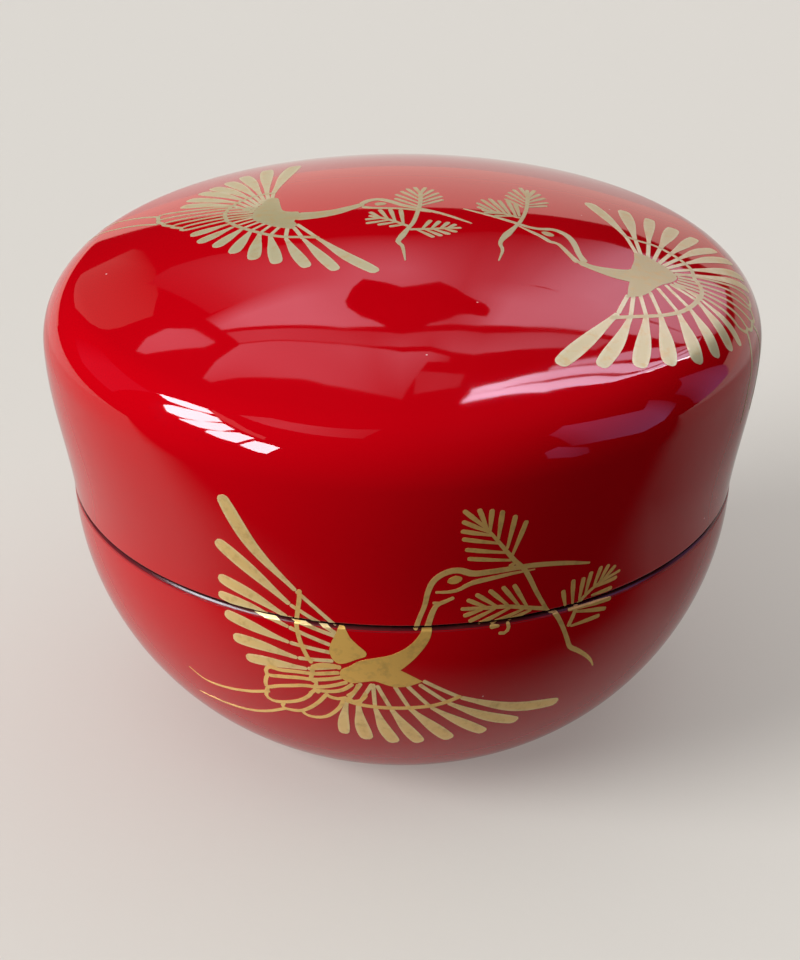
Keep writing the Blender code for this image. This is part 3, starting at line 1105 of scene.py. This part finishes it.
# the crane that flies across the front, over the seam
# a feather is (width, tip, middle, root, foot); a line is (width or widths, points); all in mm
frontCrane = {
    "tone": 1.0,                # how deep its body's gold is
    "wings": [
        [
            (1.70, (-18.3, 14.95), (-15.3, 9.0), (-11.1, 4.0), (-7.0, -0.1)),
            (1.80, (-19.6, 8.7), (-15.6, 5.4), (-11.9, 2.0), (-7.0, -1.0)),
            (1.60, (-20.1, 3.6), (-16.0, 2.15), (-12.3, 0.25), (-7.0, -1.4)),
            (1.30, (-20.4, 1.2), (-16.2, 0.45), (-12.2, -1.0), (-7.6, -2.6)),
            (1.40, (-19.8, -1.1), (-16.0, -2.0), (-12.2, -3.0), (-7.6, -3.6)),
            (1.50, (-19.0, -4.0), (-15.2, -4.25), (-11.4, -4.95), (-7.4, -4.7)),
            (1.40, (-17.7, -6.5), (-14.2, -6.3), (-10.4, -6.3), (-6.6, -5.4)),
        ],
        [
            (1.45, (-7.25, -17.6), (-6.95, -14.3), (-6.3, -10.9), (-4.5, -7.6)),
            (1.85, (-4.4, -18.6), (-4.9, -14.8), (-5.0, -11.2), (-3.3, -7.6)),
            (1.75, (-0.9, -19.2), (-2.2, -15.6), (-3.1, -11.6), (-3.2, -7.6)),
            (1.75, (2.3, -19.2), (0.4, -15.4), (-1.3, -11.7), (-2.8, -7.8)),
            (1.80, (6.1, -18.7), (3.5, -15.2), (0.8, -11.6), (-0.9, -7.8)),
            (1.60, (10.4, -17.95), (7.0, -14.9), (3.2, -11.5), (0.5, -7.8)),
            (1.70, (14.4, -16.6), (9.9, -14.2), (5.1, -10.9), (1.8, -7.6)),
            (1.80, (19.4, -14.6), (13.2, -13.3), (6.5, -10.15), (2.2, -7.1)),
        ],
    ],
    "shapes": [
        [(-6.8, -6.6), (-6.6, -5.8), (-5.8, -5.3), (-4.6, -4.4), (-3.0, -3.9), (-1.2, -3.4),
         (0.3, -2.5), (1.2, -1.6), (1.8, -0.7), (2.1, 0.1), (2.1, 0.1), (3.1, 0.1), (3.1, 0.1),
         (2.9, -1.2), (2.2, -2.6), (1.2, -4.0), (0.2, -5.1), (-0.25, -5.5), (-0.25, -5.5),
         (0.8, -6.2), (2.2, -7.2), (2.2, -7.2), (0.6, -7.9), (-0.8, -8.0), (-2.0, -7.6),
         (-3.0, -7.2), (-4.2, -7.4), (-5.5, -7.7), (-6.4, -7.3)],
        [(-6.7, -0.1), (-6.1, -0.2), (-5.5, -1.4), (-4.6, -2.4), (-3.9, -3.1), (-3.9, -3.7),
         (-4.9, -4.2), (-6.0, -4.8), (-6.8, -5.0), (-7.4, -4.6), (-7.8, -3.5), (-7.6, -2.3),
         (-7.1, -1.2)],
        [(4.5, 6.1), (4.7, 6.6), (5.3, 6.9), (5.9, 6.7), (6.0, 6.3), (5.6, 5.9), (5.0, 5.8)],
    ],
    "lines": [
        # bars across the quills
        (0.5, [(-10.7, 4.3), (-10.8, 3.0), (-11.1, 1.2), (-11.3, -0.6), (-11.0, -2.5), (-10.4, -4.3),
               (-9.8, -5.4)]),
        (0.55, [(-6.5, -10.6), (-4.75, -11.2), (-2.5, -11.5), (0.0, -11.55), (3.0, -11.3),
                (4.8, -10.8), (6.6, -9.9)]),
        (0.5, [(-8.5, -9.7), (-8.4, -10.2), (-7.2, -10.5), (-6.3, -10.2), (-5.5, -10.7),
               (-4.6, -10.4), (-4.0, -9.4)]),
        # neck, head and beak
        ((0.55, 0.5, 0.55, 0.65, 0.75, 0.8, 0.7, 0.65, 0.65, 0.6, 0.5, 0.25),
         [(1.3, -0.3), (1.75, 1.4), (2.25, 3.0), (2.6, 5.0), (3.2, 6.5), (4.4, 7.45), (5.7, 7.6),
          (7.1, 7.0), (9.0, 7.0), (12.0, 7.05), (14.2, 6.9), (17.0, 6.35), (20.2, 5.4)]),
        ((0.7, 0.65, 0.6, 0.5, 0.4), [(2.5, -0.3), (2.75, 0.8), (3.05, 2.0), (3.5, 3.0), (4.3, 3.45),
                                      (5.3, 3.95)]),
        (0.35, [(3.05, 3.35), (4.0, 3.3)]),
        ((0.3, 0.4, 0.5, 0.65, 0.55, 0.45, 0.3, 0.15),
         [(3.3, 4.8), (4.5, 4.75), (5.6, 4.9), (6.4, 5.4), (7.3, 5.8), (9.2, 6.1), (11.3, 6.35),
          (13.7, 6.4)]),
        # tail
        (0.6, [(-6.6, -5.6), (-7.6, -5.4), (-8.9, -5.5), (-9.9, -6.0)]),
        (0.5, [(-6.8, -6.3), (-8.2, -6.6), (-9.7, -6.9), (-11.7, -7.0), (-13.6, -7.2), (-14.9, -7.1),
               (-15.4, -7.7), (-15.2, -8.4), (-13.5, -8.2), (-11.5, -7.9), (-9.7, -7.8),
               (-7.9, -7.4), (-6.5, -6.9)]),
        (0.5, [(-6.0, -7.6), (-7.5, -8.3), (-9.3, -8.9), (-11.0, -9.0), (-12.5, -9.4), (-14.2, -9.9),
               (-15.6, -10.5), (-15.8, -9.9), (-15.5, -8.8), (-15.2, -8.3)]),
        (0.5, [(-15.6, -10.5), (-16.0, -11.5), (-16.1, -12.4), (-15.3, -12.9), (-13.8, -12.6),
               (-12.0, -11.8), (-10.7, -10.7), (-9.9, -9.6), (-8.0, -9.4), (-6.6, -8.9),
               (-5.4, -7.8)]),
        (0.5, [(-14.0, -12.7), (-14.4, -13.7), (-13.6, -14.0), (-12.2, -13.8), (-10.9, -12.9),
               (-9.6, -11.5), (-8.5, -9.9)]),
        (0.5, [(-12.0, -13.6), (-11.5, -14.4), (-10.3, -14.6), (-9.0, -14.1), (-7.9, -13.0),
               (-7.1, -11.8), (-6.6, -10.4)]),
        (0.5, [(-9.7, -5.6), (-9.9, -6.8), (-10.1, -7.8), (-9.5, -8.3), (-9.9, -9.3), (-9.3, -9.9)]),
        (0.45, [(-4.8, -7.8), (-5.3, -9.0), (-6.2, -9.9)]),
        # legs
        ((0.45, 0.45, 0.4, 0.3, 0.15), [(-15.5, -11.2), (-18.5, -12.3), (-22.0, -13.1),
                                        (-25.0, -13.2), (-27.2, -12.0)]),
        ((0.45, 0.45, 0.4, 0.3, 0.15), [(-14.0, -13.9), (-17.0, -15.6), (-20.0, -16.6),
                                        (-23.5, -17.0), (-28.0, -17.0)]),
        # pine sprig
        ((0.3, 0.4, 0.5, 0.55, 0.55, 0.5, 0.45, 0.3),
         [(8.2, 12.8), (9.4, 11.0), (10.5, 9.3), (11.4, 8.0), (12.4, 6.8), (13.1, 5.5), (14.3, 2.9),
          (15.8, 0.2), (16.7, -0.2)]),
        ((0.6, 0.55, 0.5, 0.55, 0.6, 0.5, 0.4, 0.15),
         [(16.5, -0.1), (17.0, -0.9), (17.7, -2.4), (18.4, -4.2), (18.9, -5.4), (20.0, -6.3),
          (21.3, -7.5), (22.3, -8.7), (22.9, -9.8)]),
        ((0.5, 0.5, 0.5, 0.45), [(15.6, 0.6), (13.2, 1.3), (11.0, 1.9), (8.8, 2.1), (6.0, 2.3)]),
        ((0.5, 0.45, 0.4, 0.4), [(18.3, -2.5), (18.8, -1.4), (19.1, -0.6), (19.6, 0.4), (20.9, 1.5),
                                 (22.2, 2.2), (24.6, 2.8)]),
        (0.4, [(10.2, -1.4), (10.9, -1.5), (11.3, -1.0), (11.2, -0.2)]),
    ],
    "tufts": [
        [((5.8, 15.35), (8.3, 12.7)), ((7.3, 15.4), (8.2, 12.8)), ((5.7, 14.0), (8.5, 12.3)),
         ((5.6, 12.8), (9.0, 11.8)), ((5.75, 11.75), (9.6, 10.7)), ((6.1, 10.35), (10.5, 9.3)),
         ((6.4, 9.1), (11.0, 8.2)), ((10.8, 7.3), (11.5, 7.9)), ((8.6, 15.2), (8.5, 12.4)),
         ((9.65, 14.9), (9.4, 11.2)), ((11.0, 14.1), (10.4, 9.8)), ((12.2, 13.2), (11.0, 8.8))],
        [((6.6, 3.5), (8.9, 2.1)), ((7.5, 4.15), (10.0, 2.0)), ((8.9, 4.5), (11.2, 1.9)),
         ((10.3, 4.75), (12.4, 1.6)), ((11.5, 4.8), (13.3, 1.3)), ((6.3, 1.3), (8.4, 2.0)),
         ((6.9, 0.5), (9.8, 1.9)), ((7.9, 0.0), (11.4, 1.7)), ((9.3, -0.1), (12.9, 1.2)),
         ((11.2, 0.0), (13.8, 0.9)), ((9.2, -0.5), (10.3, -0.5))],
        [((17.3, 2.6), (17.8, 0.3)), ((18.4, 3.7), (18.7, 0.3)), ((19.7, 3.6), (19.5, 0.5)),
         ((20.6, 4.1), (20.2, 1.1)), ((21.8, 4.4), (21.2, 1.8)), ((22.8, 4.3), (21.8, 2.0)),
         ((23.8, 3.8), (22.2, 2.2)), ((24.3, 2.0), (21.3, 1.7)), ((23.8, 0.8), (21.0, 0.7)),
         ((23.8, -0.6), (18.2, -0.35)), ((23.2, -1.7), (19.2, -0.8)), ((22.4, -2.3), (18.6, -2.5))],
    ],
}

# the crane on the right of the lid, seen from above
rightCrane = {
    "tone": 0.8,
    "wings": [
        [
            (1.70, (21.9, 10.6), (23.8, 6.0), (25.6, 1.1), (26.5, -3.4)),
            (1.70, (26.2, 10.6), (26.5, 5.6), (26.7, 0.9), (27.0, -3.4)),
            (1.40, (29.4, 9.9), (28.8, 5.2), (28.3, 0.6), (27.8, -3.7)),
            (1.70, (32.3, 8.8), (30.9, 4.2), (29.6, 0.0), (28.4, -4.3)),
            (1.40, (34.8, 7.4), (32.8, 3.2), (30.8, -0.8), (28.9, -4.8)),
            (1.40, (37.0, 5.3), (34.2, 2.2), (31.8, -1.4), (29.3, -5.2)),
            (1.60, (38.9, 3.5), (35.6, 1.0), (32.6, -2.2), (29.6, -5.6)),
            (1.70, (40.3, 0.6), (36.6, -1.5), (33.0, -3.7), (30.0, -6.0)),
            (1.50, (40.8, -1.9), (37.2, -3.4), (33.3, -4.9), (30.4, -6.5)),
        ],
        [
            (1.90, (16.3, -28.7), (20.0, -23.3), (23.3, -18.0), (24.7, -13.8)),
            (1.70, (20.8, -28.0), (23.1, -23.0), (24.7, -18.1), (25.3, -13.8)),
            (1.90, (25.1, -26.9), (25.9, -22.2), (26.5, -17.3), (26.1, -13.2)),
            (1.90, (28.6, -25.3), (28.5, -21.0), (28.2, -16.6), (27.3, -12.0)),
            (1.80, (32.1, -23.3), (31.3, -19.2), (30.3, -14.9), (28.3, -10.7)),
            (1.60, (34.6, -20.8), (33.3, -17.1), (31.8, -13.4), (29.3, -9.5)),
            (1.50, (36.7, -18.2), (34.8, -14.8), (32.9, -11.2), (29.9, -9.0)),
            (1.10, (38.3, -16.0), (35.8, -13.3), (33.3, -10.5), (30.4, -8.4)),
        ],
    ],
    "shapes": [
        [(26.3, -3.3), (27.7, -3.4), (28.8, -4.4), (29.9, -5.3), (30.9, -6.8), (30.3, -8.3),
         (29.0, -9.6), (28.1, -10.8), (27.3, -12.1), (26.2, -13.4), (24.6, -14.3), (24.6, -14.3),
         (24.8, -12.5), (25.1, -10.8), (25.1, -10.8), (23.3, -10.7), (21.5, -10.1), (19.7, -9.2),
         (19.4, -8.6), (19.9, -8.2), (21.1, -8.75), (23.3, -8.6), (25.2, -8.0), (25.7, -6.8),
         (26.1, -5.0)],
        [(15.6, -2.3), (16.2, -2.0), (16.9, -2.4), (17.0, -2.9), (16.5, -3.2), (15.9, -2.9)],
    ],
    "lines": [
        (0.5, [(25.3, 1.2), (27.0, 0.6), (28.5, 0.5), (29.8, 0.0), (31.0, -0.9), (32.1, -2.1),
               (32.9, -3.5), (33.1, -5.2)]),
        (0.55, [(22.5, -19.1), (25.7, -17.7), (28.4, -16.4), (30.7, -14.6), (32.3, -12.4),
                (33.4, -10.0)]),
        # neck, head and beak
        ((0.9, 0.7, 0.7, 0.8, 0.8, 0.7, 0.6, 0.55, 0.5, 0.5, 0.45, 0.4, 0.2),
         [(20.2, -8.4), (19.6, -6.5), (19.35, -4.8), (18.9, -3.0), (18.1, -1.7), (16.9, -1.15),
          (15.6, -1.5), (14.3, -1.4), (12.9, -0.7), (11.1, 0.25), (9.2, 1.2), (6.9, 2.35)]),
        ((0.8, 0.65, 0.6, 0.5, 0.6, 0.55, 0.4, 0.2),
         [(19.4, -8.8), (18.5, -7.1), (17.9, -5.8), (17.3, -4.8), (16.5, -4.6), (15.4, -3.4),
          (14.0, -2.2), (12.9, -1.2)]),
        # tail
        (0.5, [(33.2, -4.8), (33.1, -5.9), (33.6, -7.2), (33.7, -8.6), (33.4, -10.4)]),
        (0.45, [(30.8, -6.0), (33.4, -5.3), (36.0, -4.8), (39.0, -4.4), (40.2, -4.5), (40.5, -5.6),
                (40.1, -6.5), (38.5, -6.1), (36.2, -5.9), (33.3, -6.3), (31.0, -6.7)]),
        (0.45, [(31.0, -7.3), (33.7, -7.1), (36.5, -7.2), (39.2, -7.5), (40.5, -7.0), (40.2, -6.4)]),
        (0.45, [(30.8, -7.9), (33.8, -8.1), (36.4, -8.6), (38.8, -9.2), (40.3, -9.4), (41.0, -8.4),
                (40.5, -7.1)]),
        (0.45, [(30.4, -8.6), (33.6, -8.9), (36.1, -9.9), (38.1, -10.8), (39.5, -11.7), (40.4, -10.9),
                (40.5, -9.5)]),
        (0.45, [(29.9, -9.0), (33.3, -9.8), (35.5, -11.0), (37.2, -12.4), (38.1, -13.1), (39.3, -12.6),
                (39.5, -11.7)]),
        # legs
        ((0.45, 0.4, 0.35, 0.25), [(40.6, -9.6), (43.0, -9.8), (46.0, -12.0), (49.0, -15.0)]),
        ((0.45, 0.4, 0.35, 0.25), [(39.4, -12.3), (41.4, -15.4), (43.6, -18.0), (46.4, -20.4)]),
        # pine sprig
        ((0.45, 0.5, 0.5, 0.45, 0.45, 0.45, 0.5, 0.9, 0.5, 0.35, 0.15),
         [(14.7, 11.7), (14.6, 8.6), (14.2, 4.0), (13.5, 0.6), (12.9, -1.2), (12.0, -3.3),
          (11.1, -5.4), (10.8, -6.7), (11.0, -8.2), (10.5, -10.7)]),
        (0.45, [(13.4, 1.0), (11.3, 1.9), (9.0, 2.3)]),
    ],
    "tufts": [
        [((13.0, 11.2), (14.3, 7.6)), ((12.4, 9.8), (14.2, 6.6)), ((12.0, 8.4), (14.1, 5.6)),
         ((11.8, 7.0), (14.0, 4.6)), ((13.9, 12.4), (14.5, 8.8)), ((15.6, 12.0), (14.7, 8.6)),
         ((16.2, 10.6), (14.6, 7.6)), ((16.7, 9.2), (14.5, 6.6)), ((17.0, 7.6), (14.4, 5.6)),
         ((16.8, 6.3), (14.3, 4.8))],
        [((8.5, 3.3), (9.8, 2.2)), ((8.5, 4.6), (10.5, 2.1)), ((9.1, 5.9), (11.2, 1.9)),
         ((10.0, 6.5), (11.8, 1.7)), ((11.1, 6.2), (12.3, 1.5)), ((12.1, 6.4), (12.9, 1.3)),
         ((13.0, 5.6), (13.3, 1.5)), ((9.2, 1.6), (11.6, 1.8)), ((10.4, 0.9), (12.6, 1.3))],
    ],
}

# the crane on the left of the lid
leftCrane = {
    "tone": 0.6,
    "wings": [
        [
            (1.90, (-13.2, 25.5), (-14.2, 18.0), (-15.1, 10.6), (-15.2, 7.4)),
            (1.70, (-16.8, 25.3), (-16.4, 18.0), (-15.9, 10.7), (-15.5, 7.4)),
            (1.60, (-19.6, 23.0), (-18.1, 17.0), (-16.7, 10.7), (-15.9, 7.2)),
            (1.60, (-21.4, 20.8), (-19.4, 15.8), (-17.4, 10.5), (-16.2, 6.8)),
            (1.60, (-23.2, 19.0), (-20.5, 14.6), (-18.1, 10.1), (-16.5, 6.2)),
            (1.60, (-24.5, 17.4), (-21.3, 13.3), (-18.7, 9.5), (-16.7, 5.6)),
            (1.60, (-25.8, 15.0), (-22.4, 11.8), (-19.3, 8.8), (-16.9, 5.0)),
            (1.60, (-26.4, 12.4), (-22.8, 10.1), (-19.8, 8.0), (-17.1, 4.4)),
        ],
        [
            (1.50, (-2.7, -14.0), (-6.2, -10.2), (-9.5, -5.4), (-11.9, -1.2)),
            (1.40, (-7.1, -13.3), (-9.2, -9.3), (-11.0, -5.4), (-12.2, -2.0)),
            (1.40, (-10.3, -12.2), (-11.8, -8.5), (-13.0, -4.7), (-12.9, -2.0)),
            (1.50, (-13.7, -10.7), (-14.3, -7.1), (-14.8, -3.5), (-13.8, -1.4)),
            (1.60, (-16.4, -9.1), (-16.3, -5.8), (-16.0, -2.5), (-14.8, -0.6)),
            (1.60, (-18.9, -6.8), (-18.0, -4.1), (-17.0, -1.3), (-15.5, 0.1)),
            (1.60, (-21.1, -4.4), (-19.6, -2.4), (-17.9, -0.2), (-16.1, 0.9)),
            (1.60, (-23.2, -2.2), (-21.2, -0.9), (-19.2, 0.6), (-16.6, 1.7)),
            (1.50, (-24.3, 0.5), (-22.0, 1.0), (-19.7, 1.8), (-17.0, 2.5)),
        ],
    ],
    "shapes": [
        [(-15.6, 8.2), (-14.5, 8.2), (-14.0, 5.0), (-13.6, 3.4), (-12.6, 2.7), (-11.9, 2.55),
         (-11.6, 1.2), (-12.2, -0.2), (-11.9, -1.2), (-12.3, -2.3), (-13.3, -1.9), (-14.4, -1.2),
         (-15.8, 0.2), (-16.7, 1.3), (-17.2, 2.8), (-17.0, 4.6), (-16.3, 6.6)],
        [(-3.2, 3.4), (-2.8, 3.8), (-2.1, 3.8), (-1.8, 3.3), (-2.2, 2.9), (-2.9, 2.9)],
    ],
    "lines": [
        (0.5, [(-9.2, -5.4), (-11.0, -4.9), (-13.0, -4.4), (-14.8, -3.4), (-16.2, -2.2), (-17.5, -0.9),
               (-18.8, 0.6), (-19.9, 2.4)]),
        (0.5, [(-14.8, 10.5), (-16.5, 10.6), (-18.1, 10.0), (-19.4, 8.6), (-20.2, 7.0), (-20.5, 5.0),
               (-20.0, 2.4)]),
        # neck, head and beak
        ((2.6, 2.1, 1.9, 1.6, 1.2, 0.9), [(-12.4, 1.1), (-10.0, 0.95), (-7.8, 1.35), (-5.9, 2.4),
                                          (-4.4, 3.5)]),
        ((0.8, 0.8, 0.8, 0.7, 0.55, 0.5, 0.45, 0.2),
         [(-4.7, 3.5), (-3.9, 4.5), (-2.6, 4.9), (-1.2, 4.0), (0.0, 2.9), (1.9, 1.9), (4.6, 0.4),
          (7.8, -1.9)]),
        ((0.6, 0.5, 0.5, 0.45, 0.15), [(-4.6, 2.6), (-3.2, 2.1), (-1.2, 1.9), (0.8, 1.6),
                                       (3.2, 0.8)]),
        # tail
        (0.5, [(-17.1, 2.9), (-20.3, 3.0), (-24.6, 2.6), (-25.6, 3.4), (-24.5, 4.0), (-20.5, 4.0),
               (-17.1, 3.5)]),
        (0.5, [(-25.5, 3.6), (-26.8, 4.8), (-26.0, 5.4), (-22.5, 5.2), (-20.4, 5.0), (-17.1, 4.2)]),
        (0.5, [(-26.7, 5.0), (-28.0, 6.4), (-27.4, 7.0), (-23.5, 6.6), (-20.4, 6.0), (-17.0, 4.8)]),
        (0.5, [(-27.9, 6.6), (-28.9, 8.4), (-28.0, 8.8), (-24.0, 8.0), (-20.2, 7.0), (-16.8, 5.4)]),
        (0.5, [(-28.8, 8.6), (-29.0, 10.4), (-28.0, 10.7), (-24.0, 9.2), (-20.0, 7.8)]),
        # legs
        ((0.45, 0.4, 0.3, 0.2), [(-28.7, 7.2), (-32.0, 9.4), (-36.0, 11.0), (-40.0, 11.5)]),
        ((0.45, 0.4, 0.3, 0.2), [(-28.9, 10.3), (-32.0, 12.6), (-35.5, 14.2), (-39.0, 15.0)]),
        # pine sprig
        ((0.45, 0.5, 0.5, 0.5, 0.5, 0.5, 0.5, 0.8, 0.5, 0.35, 0.15),
         [(2.1, 8.0), (2.05, 4.1), (1.75, 1.0), (1.25, -2.1), (0.6, -4.0), (-0.1, -6.0),
          (-0.5, -7.3), (0.0, -8.4), (0.3, -11.6)]),
        (0.45, [(0.8, -3.4), (-1.6, -1.4), (-3.8, -0.2)]),
        (0.45, [(0.7, -4.2), (3.4, -3.9), (6.6, -3.3)]),
    ],
    "tufts": [
        [((-0.9, 5.2), (1.8, 2.6)), ((-0.8, 6.6), (1.9, 3.6)), ((-0.2, 7.8), (2.0, 4.6)),
         ((0.5, 8.8), (2.0, 5.6)), ((1.4, 9.4), (2.1, 6.8)), ((2.7, 9.4), (2.1, 6.8)),
         ((3.6, 8.6), (2.1, 5.6)), ((4.2, 7.4), (2.1, 4.6)), ((4.6, 6.2), (2.0, 3.6)),
         ((4.7, 5.0), (1.9, 2.6))],
        [((-3.7, 0.9), (-2.5, -0.8)), ((-2.6, 1.6), (-1.6, -1.4)), ((-1.4, 1.7), (-0.8, -2.0)),
         ((-0.2, 1.5), (0.1, -2.7)), ((-4.2, -1.3), (-2.2, -1.0)), ((-4.1, -2.4), (-1.4, -1.6)),
         ((-2.8, -2.9), (-0.7, -2.2)), ((-1.5, -3.4), (0.2, -2.9))],
        [((3.2, -1.5), (2.2, -4.0)), ((4.2, -1.7), (3.2, -3.9)), ((5.2, -1.9), (4.2, -3.8)),
         ((6.0, -2.4), (5.0, -3.6)), ((3.5, -6.1), (1.6, -4.2)), ((4.4, -5.7), (2.5, -4.1)),
         ((5.3, -5.2), (3.5, -4.0)), ((6.1, -4.5), (4.6, -3.7))],
    ],
}


def paintGold():
    warmGold = goldPowder("gold_powder", goldFinish["edge"], goldFinish["middle"],
                          goldFinish["deep"])
    # the lid's cranes take a greyer, greener copy of the same gold, with the sheen from above painted
    # in
    lidGoldPaintedSheen = goldPowder("gold_powder_painted_sheen", goldFinish["lidSheenEdge"], goldFinish["lidSheenMiddle"],
                          goldFinish["lidSheenDeep"])
    cuts = (painting["lidEnds"], painting["bodyEnds"]) + painting["bevelRows"]
    flat, triangles = goldTriangles(drawingOf(frontCrane), cuts)

    def middle(triangle):
        return sum(flat[i].y for i in triangle[:3]) / 3

    upper = [triangle for triangle in triangles if middle(triangle) > painting["lidEnds"]]
    lower = [triangle for triangle in triangles if middle(triangle) < painting["bodyEnds"]]
    goldFilm("front_crane_on_lid", flat, upper, onFront, warmGold)
    goldFilm("front_crane_on_body", flat, lower, onBody, warmGold)
    goldFilm("right_crane", *goldTriangles(drawingOf(rightCrane)), onLid, lidGoldPaintedSheen)
    goldFilm("left_crane", *goldTriangles(drawingOf(leftCrane)), onLid, lidGoldPaintedSheen)


makeCamera()
makeFloor()
makeStudio()
print("camera, floor and light")
makeLid()
makeBody()
print("lid and body turned")
paintGold()
print("gold painted")
